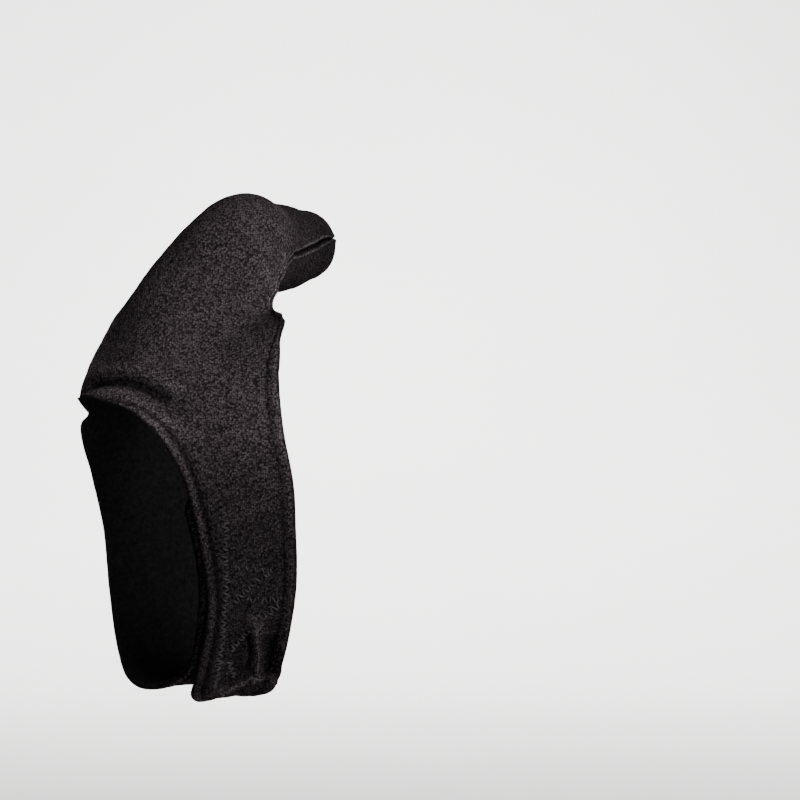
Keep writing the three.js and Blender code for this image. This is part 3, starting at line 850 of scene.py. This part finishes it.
def round_wire(tree, curve, radius, sides):
    """A solid wire along a curve."""
    circle = {"Radius": radius, "Resolution": sides}
    profile = node_output(tree, "GeometryNodeCurvePrimitiveCircle", circle)
    wire = {"Curve": curve, "Profile Curve": profile, "Fill Caps": True}
    return node_output(tree, "GeometryNodeCurveToMesh", wire)


def running_stitch_tree():
    """Short stitches lying along lines."""
    sizes = {"Pitch": 2.2 * MM, "Length": 1.2 * MM, "Thickness": 0.26 * MM, "Sink": 0.06 * MM}
    tree, given = geometry_tree("running_stitches", sizes)
    add = partial(node_output, tree)
    up = stored_vector(tree, "up")
    sunk = scaled(tree, up, math_node(tree, "MULTIPLY", given["Sink"], -1))
    line = even_curve(tree, given["Geometry"], given["Pitch"])
    laid = add("GeometryNodeSetPosition", {"Geometry": line, "Offset": sunk})
    axes = {0: add("GeometryNodeInputTangent"), 1: up}
    turn = add("FunctionNodeAxesToRotation", axes, primary_axis="X", secondary_axis="Z")
    stitch = add("GeometryNodeMeshUVSphere", {"Segments": 8, "Rings": 6, "Radius": 0.5})
    thickness = given["Thickness"]
    size = add("ShaderNodeCombineXYZ", {"X": given["Length"], "Y": thickness, "Z": thickness})
    links = {"Points": laid, "Instance": stitch, "Rotation": turn, "Scale": size}
    return end_tree(tree, given, add("GeometryNodeInstanceOnPoints", links))


SWAY_SEED = 7


def zigzag_tree():
    """A thread that swings from side to side along lines and dips into the cloth at each turn."""
    sizes = {"Pitch": 2.0 * MM, "Width": 3.1 * MM, "Thread": 0.27 * MM, "Arch": 0.38 * MM, "Sway": 0.6}
    tree, given = geometry_tree("zigzag_stitches", sizes)
    add, calculate = partial(node_output, tree), partial(math_node, tree)
    line = even_curve(tree, given["Geometry"], calculate("DIVIDE", given["Pitch"], 4))
    count = add("GeometryNodeInputIndex")
    swing = calculate("COSINE", calculate("MULTIPLY", count, math.pi / 2))
    chance = add_node(tree, "FunctionNodeRandomValue", {"Seed": SWAY_SEED}).outputs[1]
    uneven = calculate("SUBTRACT", 1, calculate("MULTIPLY", chance, given["Sway"]))
    reach = calculate("MULTIPLY", uneven, calculate("DIVIDE", given["Width"], 2))
    beat = calculate("COSINE", calculate("MULTIPLY", count, math.pi))
    rise = calculate("MULTIPLY", beat, calculate("MULTIPLY", given["Arch"], -1))
    sideways = scaled(tree, stored_vector(tree, "side"), calculate("MULTIPLY", swing, reach))
    upwards = scaled(tree, stored_vector(tree, "up"), rise)
    offset = add("ShaderNodeVectorMath", {0: sideways, 1: upwards}, operation="ADD")
    moved = add("GeometryNodeSetPosition", {"Geometry": line, "Offset": offset})
    return end_tree(tree, given, round_wire(tree, moved, given["Thread"], 6))


HOOK_SWEEP = 150


def hook_tree():
    """Small bent hooks that stand on points."""
    tree, given = geometry_tree("tape_hooks", {"Height": 0.34 * MM, "Wire": 0.06 * MM})
    bend = {"Radius": given["Height"], "Resolution": 7, "Sweep Angle": math.radians(HOOK_SWEEP)}
    arc = node_output(tree, "GeometryNodeCurveArc", bend, mode="RADIUS")
    hook = round_wire(tree, arc, given["Wire"], 4)
    axes = {0: stored_vector(tree, "up"), 1: stored_vector(tree, "side")}
    turn = node_output(tree, "FunctionNodeAxesToRotation", axes, primary_axis="Y", secondary_axis="X")
    links = {"Points": given["Geometry"], "Instance": hook, "Rotation": turn}
    return end_tree(tree, given, node_output(tree, "GeometryNodeInstanceOnPoints", links))


def grown_piece(name, holder, tree, material):
    """The plain mesh that a tree grows on a holder, which is then removed."""
    modifier = holder.modifiers.new("grow", "NODES")
    modifier.node_group = tree
    for item in tree.interface.items_tree:
        if item.in_out == "INPUT" and item.name == "Material":
            modifier[item.identifier] = material
    shown = holder.evaluated_get(bpy.context.evaluated_depsgraph_get())
    mesh = bpy.data.meshes.new_from_object(shown)
    mesh.name = name
    bpy.data.objects.remove(holder)
    return add_object(name, mesh)


def mix_colour(tree, share, first, second):
    return add_node(tree, "ShaderNodeMix", {0: share, 6: first, 7: second}, data_type="RGBA").outputs[2]


def value_range(tree, value, *span):
    """A value from the first two numbers of span brought to the last two."""
    names = ("From Min", "From Max", "To Min", "To Max")
    return node_output(tree, "ShaderNodeMapRange", {"Value": value, **dict(zip(names, span))})


def object_place(tree):
    return tree.nodes.new("ShaderNodeTexCoord").outputs["Object"]


LOOP_UNEVENNESS = 0.8
PATCH_SCALE = 420
PATCH_SWING = 0.2
LOOP_CORE = (0.2, 0.7)
LOOP_GAP = (0.3, 0.7)
LOWEST_LOOP = 0.3
NOISE_SPAN = (0.3, 0.7)


def knit_group():
    """The speckle of a fine melange knit: every loop has its own tone, and painted shade darkens the gaps
    between them.
    """
    inputs = {
        "Cloth": (0.02, 0.02, 0.02),
        "Fleck": (0.1, 0.1, 0.1),
        "Gap": (0.005, 0.005, 0.005),
        "Loops": 1850.0,
    }
    outputs = {"Color": "Color", "Height": "Float"}
    tree, given = new_tree("knitted_loops", "ShaderNodeTree", inputs, outputs)
    calculate, spread = partial(math_node, tree), partial(value_range, tree)
    place = object_place(tree)
    cells = {"Vector": place, "Scale": given["Loops"], "Randomness": LOOP_UNEVENNESS}
    loops = add_node(tree, "ShaderNodeTexVoronoi", cells).outputs
    tone = node_output(tree, "ShaderNodeSeparateColor", {0: loops["Color"]})
    noise = {"Vector": place, "Scale": PATCH_SCALE, "Detail": 3.0}
    patches = node_output(tree, "ShaderNodeTexNoise", noise)
    chance = calculate("ADD", tone, spread(patches, *NOISE_SPAN, -PATCH_SWING, PATCH_SWING))
    core = spread(loops["Distance"], *LOOP_CORE, 1, 0)
    fleck = calculate("MULTIPLY", spread(chance, 0, 1, 0, 1), core)
    # Painted shade in the gaps between the loops
    gap = spread(loops["Distance"], *LOOP_GAP, 0, 1)
    cloth = mix_colour(tree, gap, given["Cloth"], given["Gap"])
    colour = mix_colour(tree, fleck, cloth, given["Fleck"])
    height = calculate("MULTIPLY", core, spread(chance, 0, 1, LOWEST_LOOP, 1))
    add_node(tree, "NodeGroupOutput", {"Color": colour, "Height": height})
    return tree


def tone_group():
    """Slow changes of tone over a surface, from wear and uneven dye."""
    inputs = {"Color": (0.1, 0.1, 0.1), "Amount": 0.3, "Size": 45.0}
    tree, given = new_tree("uneven_tone", "ShaderNodeTree", inputs, {"Color": "Color"})
    noise = {"Vector": object_place(tree), "Scale": given["Size"], "Detail": 4.0, "Roughness": 0.6}
    spots = value_range(tree, node_output(tree, "ShaderNodeTexNoise", noise), *NOISE_SPAN, -1, 1)
    factor = math_node(tree, "ADD", 1, math_node(tree, "MULTIPLY", spots, given["Amount"]))
    add_node(tree, "NodeGroupOutput", {"Color": scaled(tree, given["Color"], factor)})
    return tree


# Where the painted shade and highlights that follow the form begin and end: millimetres from a free edge or a
# seam, or of a fold's height, and how far a painted highlight line reaches to each side
HEM_EDGE = (0.25, 1)
SEAM_EDGE = (0.15, 0.6)
VALLEY = (-1.3, -0.15)
RIDGE = (0.1, 0.9)
HIGHLIGHT_CORE = 0.1
HEM_HIGHLIGHT_REACH = 0.9
SEAM_HIGHLIGHT_REACH = 0.45
SEAM_HIGHLIGHT_INSET = SEAM_ROUND + 0.1


def painted_shade_group():
    """Painted light and shade that follow the cloth's form: painted shade at folded edges, seams, stitch
    lines and valleys, painted highlights on the hem, beside the seams and on ridges.
    """
    inputs = {
        "Color": (0.1, 0.1, 0.1),
        "Distance": 0.0,
        "Seam": 20.0,
        "Groove": 0.0,
        "Fold": 0.0,
        "Stretch": 1.0,
        "Edge Darkness": 0.6,
        "Groove Darkness": 0.65,
        "Hem Highlight": 0.3,
        "Seam Highlight": 1.6,
        "Valley Darkness": 0.65,
        "Ridge Highlight": 1.1,
    }
    tree, given = new_tree("painted_shade", "ShaderNodeTree", inputs, {"Color": "Color"})
    calculate, spread = partial(math_node, tree), partial(value_range, tree)

    def near(distance, place, reach):
        gap = calculate("ABSOLUTE", calculate("SUBTRACT", distance, place))
        return spread(gap, HIGHLIGHT_CORE, reach, 1, 0)

    def weighed(mask, weight):
        return calculate("MULTIPLY", mask, given[weight])

    # Painted shade at the folded edges and seams, along the stitch lines and in the folds' valleys; painted
    # highlights along the middle of the hem, on the folds' ridges and on the lip beside each seam
    edges = (spread(given["Distance"], *HEM_EDGE, 1, 0), spread(given["Seam"], *SEAM_EDGE, 1, 0))
    dark = weighed(calculate("MAXIMUM", *edges), "Edge Darkness")
    groove = weighed(given["Groove"], "Groove Darkness")
    hem_highlight = weighed(near(given["Distance"], HEM_WIDTH / 2, HEM_HIGHLIGHT_REACH), "Hem Highlight")
    valley = weighed(spread(given["Fold"], *VALLEY, 1, 0), "Valley Darkness")
    ridge = weighed(spread(given["Fold"], *RIDGE, 0, 1), "Ridge Highlight")
    # Painted highlight on the lip beside each seam
    lip = weighed(near(given["Seam"], SEAM_HIGHLIGHT_INSET, SEAM_HIGHLIGHT_REACH), "Seam Highlight")
    highlighted = calculate("ADD", 1, calculate("ADD", hem_highlight, lip))
    edge = calculate("SUBTRACT", highlighted, calculate("ADD", dark, groove))
    folded = calculate("SUBTRACT", calculate("ADD", 1, ridge), valley)
    # The stretch factor brings in the painted light and shade that darkens the strap's end and the thumb's
    # tip
    factor = calculate("MULTIPLY", calculate("MULTIPLY", edge, folded), given["Stretch"])
    add_node(tree, "NodeGroupOutput", {"Color": scaled(tree, given["Color"], factor)})
    return tree


KNIT = knit_group()
TONE = tone_group()
PAINTED_SHADE = painted_shade_group()


def group_node(tree, group, inputs):
    return add_node(tree, "ShaderNodeGroup", inputs, node_tree=group).outputs


def new_material(name, roughness, specular=0.5):
    material = bpy.data.materials.new(name)
    material.use_nodes = True
    shader = material.node_tree.nodes["Principled BSDF"]
    shader.inputs["Roughness"].default_value = roughness
    shader.inputs["Specular IOR Level"].default_value = specular
    return material, material.node_tree, shader.inputs


def add_relief(tree, shader, height, strength, depth):
    """Fine relief from a height, as deep as depth in millimetres."""
    relief = {"Height": height, "Strength": strength, "Distance": depth * MM}
    tree.links.new(node_output(tree, "ShaderNodeBump", relief), shader["Normal"])


def wave(tree, scale, distortion, direction):
    bands = {"Vector": object_place(tree), "Scale": scale, "Distortion": distortion}
    return add_node(tree, "ShaderNodeTexWave", bands, bands_direction=direction).outputs["Fac"]


def cloth_material(name, cloth, fleck, gap, lining):
    """Matt stretch knit with light flecks, painted light and shade that follow its form, and a plain, darker
    lining inside.
    """
    material, tree, shader = new_material(name, roughness=0.95, specular=0)
    knit = group_node(tree, KNIT, {"Cloth": cloth, "Fleck": fleck, "Gap": gap})
    tone = group_node(tree, TONE, {"Amount": 0.2, "Color": knit["Color"]})
    kept = {
        value_name: add_node(tree, "ShaderNodeAttribute", attribute_name=value_name).outputs["Fac"]
        for value_name in (*SHADER_VALUES, "inside")
    }
    links = {"Color": tone["Color"], "Distance": kept["edge"]}
    links.update({key: kept[key.lower()] for key in ("Seam", "Groove", "Fold", "Stretch")})
    shade = group_node(tree, PAINTED_SHADE, links)
    # The inner side: the plain lining, darkened as painted shade of the glove's inside
    inner = group_node(tree, TONE, {"Color": lining, "Amount": 0.35, "Size": 900.0})
    colour = mix_colour(tree, kept["inside"], shade["Color"], inner["Color"])
    tree.links.new(colour, shader["Base Color"])
    add_relief(tree, shader, knit["Height"], strength=0.8, depth=0.1)
    return material


def thread_material(name, colour, fading):
    """Twisted sewing thread that comes and goes between the loops of the cloth."""
    material, tree, shader = new_material(name, roughness=0.7, specular=0.12)
    tone = group_node(tree, TONE, {"Color": colour, "Amount": fading, "Size": 800.0})
    tree.links.new(tone["Color"], shader["Base Color"])
    add_relief(tree, shader, wave(tree, 900.0, 2.0, "DIAGONAL"), strength=0.5, depth=0.04)
    return material


def tape_material(name, colour):
    """Woven nylon tape that carries the hooks."""
    material, tree, shader = new_material(name, roughness=0.6)
    tone = group_node(tree, TONE, {"Color": colour, "Amount": 0.2, "Size": 120.0})
    tree.links.new(tone["Color"], shader["Base Color"])
    add_relief(tree, shader, wave(tree, 520.0, 0.6, "Z"), strength=0.6, depth=0.1)
    return material


# Colours of the cloth's ground, its flecks, the painted shade in the gaps between its loops and its inner
# side.
# The inner side is the plain lining, made darker as painted shade of the glove's inside, and the palm's
# colours are the back's made about 0.86 times as dark.
BACK_COLOURS = (
    (0.028, 0.023, 0.0245),
    (0.078, 0.065, 0.069),
    (0.009, 0.0072, 0.008),
    (0.009, 0.0085, 0.009),
)
PALM_COLOURS = (
    (0.024, 0.02, 0.0215),
    (0.068, 0.057, 0.061),
    (0.008, 0.0064, 0.0071),
    (0.008, 0.0076, 0.008),
)
BACK_CLOTH = cloth_material("back_cloth", *BACK_COLOURS)
PALM_CLOTH = cloth_material("palm_cloth", *PALM_COLOURS)
HOOK_TAPE = tape_material("hook_tape", (0.012, 0.011, 0.012))
THREAD = thread_material("sewing_thread", (0.024, 0.021, 0.022), 0.95)
HEM_THREAD = thread_material("hem_thread", (0.011, 0.0095, 0.01), 0.6)

back_rows = panel_rows(1, [(STRAP_ROWS, STRAP_WIDTH, 1)])
palm_rows = panel_rows(-1, [(PALM_ROWS, PALM_BAND_WIDTH, -1), (UNDERLAP_ROWS, UNDERLAP_WIDTH, 0)])
back_panel = make_panel(back_rows, 0.5)
palm_panel = make_panel(palm_rows, 1.0)

# The zigzag stitching of the hook patch: a long column, three rows across it and a few short runs, as
# distances from the strap's end and from its wrist-side edge
ZIGZAG_ROWS = [
    [(5.2, 6.0), (15.5, 5.4), (28, 4.7), (39.5, 5.4), (50, 7.0), (58, 8.0)],
    [(40.4, 8.0), (39.5, 12.1), (37.8, 17.0)],
    [(37.8, 16.6), (36, 13.2), (33.4, 9.4), (31.5, 7.0)],
    [(31.6, 10.5), (29.9, 15.7), (29.9, 19.6)],
    [(28.5, 19.0), (25.5, 15.2), (21, 11.1), (17, 8.2)],
    [(13.6, 8.2), (10.5, 9.0), (7.8, 10.8)],
]


LINE_SAMPLES = 40
LINE_STEP = 0.8


def zigzag_lines():
    lines = []
    for marks in ZIGZAG_ROWS:
        marks = np.array(marks, float)
        spots = np.linspace(0, len(marks) - 1, LINE_SAMPLES)
        spread = [np.interp(spots, np.arange(len(marks)), marks[:, axis]) for axis in (0, 1)]
        lines.append(even_line(line_on(back_panel, list(zip(*spread))), LINE_STEP))
    return lines


for zigzag in zigzag_lines():
    back_panel = press(back_panel, zigzag.points)


CROWN_SAMPLES = 2401
PATCH_ROWS = 45
PATCH_COLUMNS = 27


def make_patch(rows):
    """The two faces and the normals of the hook patch, inset from the strap's end and edges."""
    samples = np.linspace(0, len(rows.crown) - 1, CROWN_SAMPLES)
    crown = track(rows, samples).crown
    crown_run = np.concatenate([[0], np.cumsum(np.linalg.norm(np.diff(crown, axis=0), axis=1))])
    wanted = crown_run[-1] - PATCH_INSET - np.linspace(0, PATCH_LENGTH, PATCH_ROWS)
    line, length = cross_lines(track(rows, np.interp(wanted, crown_run, samples)))
    side = (length[:, -1:] - PATCH_WIDTH) / 2
    distances = side + np.linspace(0, PATCH_WIDTH, PATCH_COLUMNS)[None]
    skin = places_across(line, length, distances)
    normals = skin_normals(skin)
    base = HEM_WALL + LAYER_GAP + fold_lift(skin) + ripple_lift(skin)
    outer = skin + normals * (base + PATCH_WALL)[..., None]
    inner = skin + normals * base[..., None]
    for ends in (np.s_[[0, -1]], np.s_[:, [0, -1]]):
        outer[ends] = inner[ends] = (outer[ends] + inner[ends]) / 2
    return outer, inner, normals


patch_outer, patch_inner, patch_normals = make_patch(back_rows)

back_piece = panel_piece("back_panel_cloth", back_panel)
palm_piece = panel_piece("palm_panel_cloth", palm_panel)
patch_piece = sheet_mesh("hook_patch_tape", patch_outer, patch_inner, {})
for piece, material in ((back_piece, BACK_CLOTH), (palm_piece, PALM_CLOTH), (patch_piece, HOOK_TAPE)):
    piece.data.materials.append(material)


def hook_piece():
    """Rows of hooks on the face of the patch that meets the under-lap."""
    rows, columns = patch_inner.shape[:2]
    inset = np.s_[2 : rows - 2 : 2, 2 : columns - 2 : 2]
    up = -patch_normals[inset].reshape(-1, 3)
    places = Line(patch_inner[inset].reshape(-1, 3), up, unit(np.cross(up, [0, 0, 1])))
    return grown_piece("patch_hooks", line_object("hook_places", [places]), hook_tree(), HOOK_TAPE)


hooks = hook_piece()

# The stitch lines: the panel, whether they follow its finger edge, and how far they run from its end
STITCH_START = 2.2
STITCH_RUNS = [
    (back_panel, False, 108),
    (back_panel, True, 112),
    (palm_panel, False, 200),
    (palm_panel, True, 190),
]
END_STITCH_TO = STRAP_WIDTH - 4
END_STITCH_MARKS = 24
hem_runs = [edge_line(panel, right, STITCH_INSET, STITCH_START, last) for panel, right, last in STITCH_RUNS]
end_marks = np.linspace(STITCH_INSET, END_STITCH_TO, END_STITCH_MARKS)
hem_runs.append(line_on(back_panel, [(STITCH_INSET, across) for across in end_marks]))
hem_holder = line_object("hem_lines", [even_line(line, LINE_STEP) for line in hem_runs])
hem_stitches = grown_piece("hem_stitching", hem_holder, running_stitch_tree(), HEM_THREAD)
zigzag_holder = line_object("zigzag_lines", zigzag_lines())
zigzags = grown_piece("patch_stitching", zigzag_holder, zigzag_tree(), THREAD)

for piece in (back_piece, palm_piece, patch_piece, hooks, hem_stitches, zigzags):
    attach(piece, "root")
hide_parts("back_panel")
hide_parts("palm_panel")
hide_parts("hook_patch")


def plain_material(name, colour, roughness):
    material, tree, shader = new_material(name, roughness)
    tone = group_node(tree, TONE, {"Color": colour, "Amount": 0.02, "Size": 4.0})
    tree.links.new(tone["Color"], shader["Base Color"])
    return material


FLOOR_HEIGHT = -0.115
FLOOR_HALF_WIDTH = 2.4
FLOOR_FRONT = -1.6
SWEEP_START = 0.75
SWEEP_RADIUS = 0.7
SWEEP_ROWS = 25
WALL_TOP = 2.2


def studio():
    """A pale floor that sweeps up into a wall behind the glove."""
    turn = np.linspace(0, math.pi / 2, SWEEP_ROWS)
    sweep = SWEEP_START + SWEEP_RADIUS * np.sin(turn)
    depth = np.concatenate([[FLOOR_FRONT], sweep, [SWEEP_START + SWEEP_RADIUS]])
    height = np.concatenate([[0], SWEEP_RADIUS * (1 - np.cos(turn)), [WALL_TOP]]) + FLOOR_HEIGHT
    points = [(x, y, z) for x in (-FLOOR_HALF_WIDTH, FLOOR_HALF_WIDTH) for y, z in zip(depth, height)]
    count = len(depth)
    faces = [(index, count + index, count + index + 1, index + 1) for index in range(count - 1)]
    mesh = bpy.data.meshes.new("studio_floor")
    mesh.from_pydata(points, [], faces)
    mesh.shade_smooth()
    mesh.materials.append(plain_material("pale_floor", (0.78, 0.77, 0.76), 0.8))
    add_object("studio_floor", mesh)


def soft_light(name, place, target, size, power, spread=180):
    light = bpy.data.lights.new(name, "AREA")
    light.shape = "DISK"
    light.size = size
    light.energy = power
    light.spread = math.radians(spread)
    lamp = add_object(name, light)
    lamp.location = place
    lamp.rotation_mode = "QUATERNION"
    lamp.rotation_quaternion = (Vector(target) - Vector(place)).to_track_quat("-Z", "Y")


studio()

# Each light's place, aim, size and power, and the spread of its beam where that is narrow
GLOVE_MIDDLE = (0, 0, 0.02)
WALL_FOOT = (0, 1.2, 0)
soft_light("key_light", (0.85, -1.05, 0.5), GLOVE_MIDDLE, 0.5, 27)
soft_light("fill_light", (0.1, -1.2, 0.5), GLOVE_MIDDLE, 0.8, 1.5)
soft_light("palm_light", (0.75, 0.85, 0.45), GLOVE_MIDDLE, 0.5, 4)
soft_light("backdrop_light", (0, 0.8, 1.7), WALL_FOOT, 0.8, 25, 70)

world = bpy.data.worlds.new("studio_world")
world.use_nodes = True
sky = world.node_tree.nodes["Background"].inputs
sky["Color"].default_value = (0.9, 0.92, 0.95, 1)
sky["Strength"].default_value = 0.2
bpy.context.scene.world = world

# The camera looks along +Y from the photograph's distance
CAMERA_PLACE = (0.042, -0.838, 0.030)
PIXELS = 800
FOCAL_PIXELS = 3220
SENSOR = 36
camera_data = bpy.data.cameras.new("camera")
camera_data.sensor_width = SENSOR
camera_data.lens = SENSOR * FOCAL_PIXELS / PIXELS
camera = add_object("camera", camera_data)
camera.location = CAMERA_PLACE
camera.rotation_euler = (math.pi / 2, 0, 0)
bpy.context.scene.camera = camera
